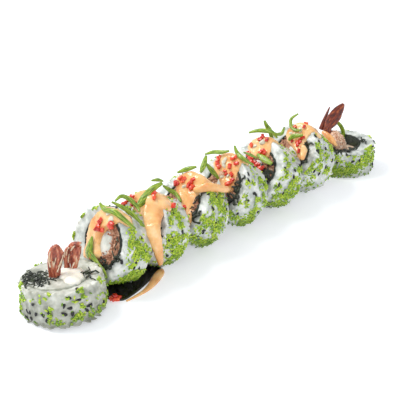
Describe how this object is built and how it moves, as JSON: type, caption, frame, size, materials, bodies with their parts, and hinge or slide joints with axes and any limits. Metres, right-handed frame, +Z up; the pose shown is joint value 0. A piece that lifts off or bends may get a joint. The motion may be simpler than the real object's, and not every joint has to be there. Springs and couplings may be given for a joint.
{
  "type": "uramaki roll",
  "caption": "Row of sliced inside-out sushi: rice round nori and fried prawn, orange sauce and scallion shreds on top, upright end pieces with crisp legs and a tail.",
  "frame": {"origin": "centre of the row's footprint, at the height of the surface that it stands on", "axes": "+X along the row from the end piece with the crisp legs to the one with the tail; the cut faces lean back towards +X and face -X and up; +Y across the row, away from the camera; +Z up"},
  "size_m": [0.3298, 0.0524, 0.0618],
  "materials": {
    "cooked_rice": "packed cooked rice, moist, with sesame and green roe",
    "nori": "damp dark green seaweed sheet",
    "fried_crust": "coarse browned batter",
    "prawn": "cooked, slightly translucent",
    "cream_cheese": "soft, satin",
    "crisp_prawn_leg": "fried shell, streaked with cream",
    "prawn_tail": "glossy shell",
    "orange_sauce": "wet, smooth",
    "scallion": "moist cut leaf",
    "dark_glaze": "wet dark glaze"
  },
  "bodies": {
    "root": {"cream_1": "cream_cheese", "crisp_leg_left": "crisp_prawn_leg", "crisp_leg_right": "crisp_prawn_leg", "crust_2": "fried_crust", "crust_3": "fried_crust", "crust_4": "fried_crust", "crust_5": "fried_crust", "crust_6": "fried_crust", "crust_7": "fried_crust", "crust_8": "fried_crust", "dark_glaze": "dark_glaze", "green_strip_8": "scallion", "nori_1": "nori", "nori_2": "nori", "nori_3": "nori", "nori_4": "nori", "nori_5": "nori", "nori_6": "nori", "nori_7": "nori", "nori_8": "nori", "prawn_2": "prawn", "prawn_3": "prawn", "prawn_4": "prawn", "prawn_5": "prawn", "prawn_6": "prawn", "prawn_7": "prawn", "prawn_tail_8": "prawn_tail", "rice_1": "cooked_rice", "rice_2": "cooked_rice", "rice_3": "cooked_rice", "rice_4": "cooked_rice", "rice_5": "cooked_rice", "rice_6": "cooked_rice", "rice_7": "cooked_rice", "rice_8": "cooked_rice", "sauce_2": "orange_sauce", "sauce_3": "orange_sauce", "sauce_4": "orange_sauce", "sauce_5": "orange_sauce", "sauce_6": "orange_sauce", "sauce_7": "orange_sauce", "sauce_8": "orange_sauce", "sauce_smear": "orange_sauce", "scallion_a": "scallion", "scallion_b": "scallion", "scallion_c": "scallion", "scallion_d": "scallion", "scallion_e": "scallion", "scallion_g": "scallion", "scallion_h": "scallion", "scallion_i": "scallion", "scallion_j": "scallion", "scallion_k": "scallion", "scallion_l": "scallion", "scallion_n": "scallion", "scallion_o": "scallion", "scallion_q": "scallion", "scallion_r": "scallion", "scallion_s": "scallion"}
  },
  "joints": []
}
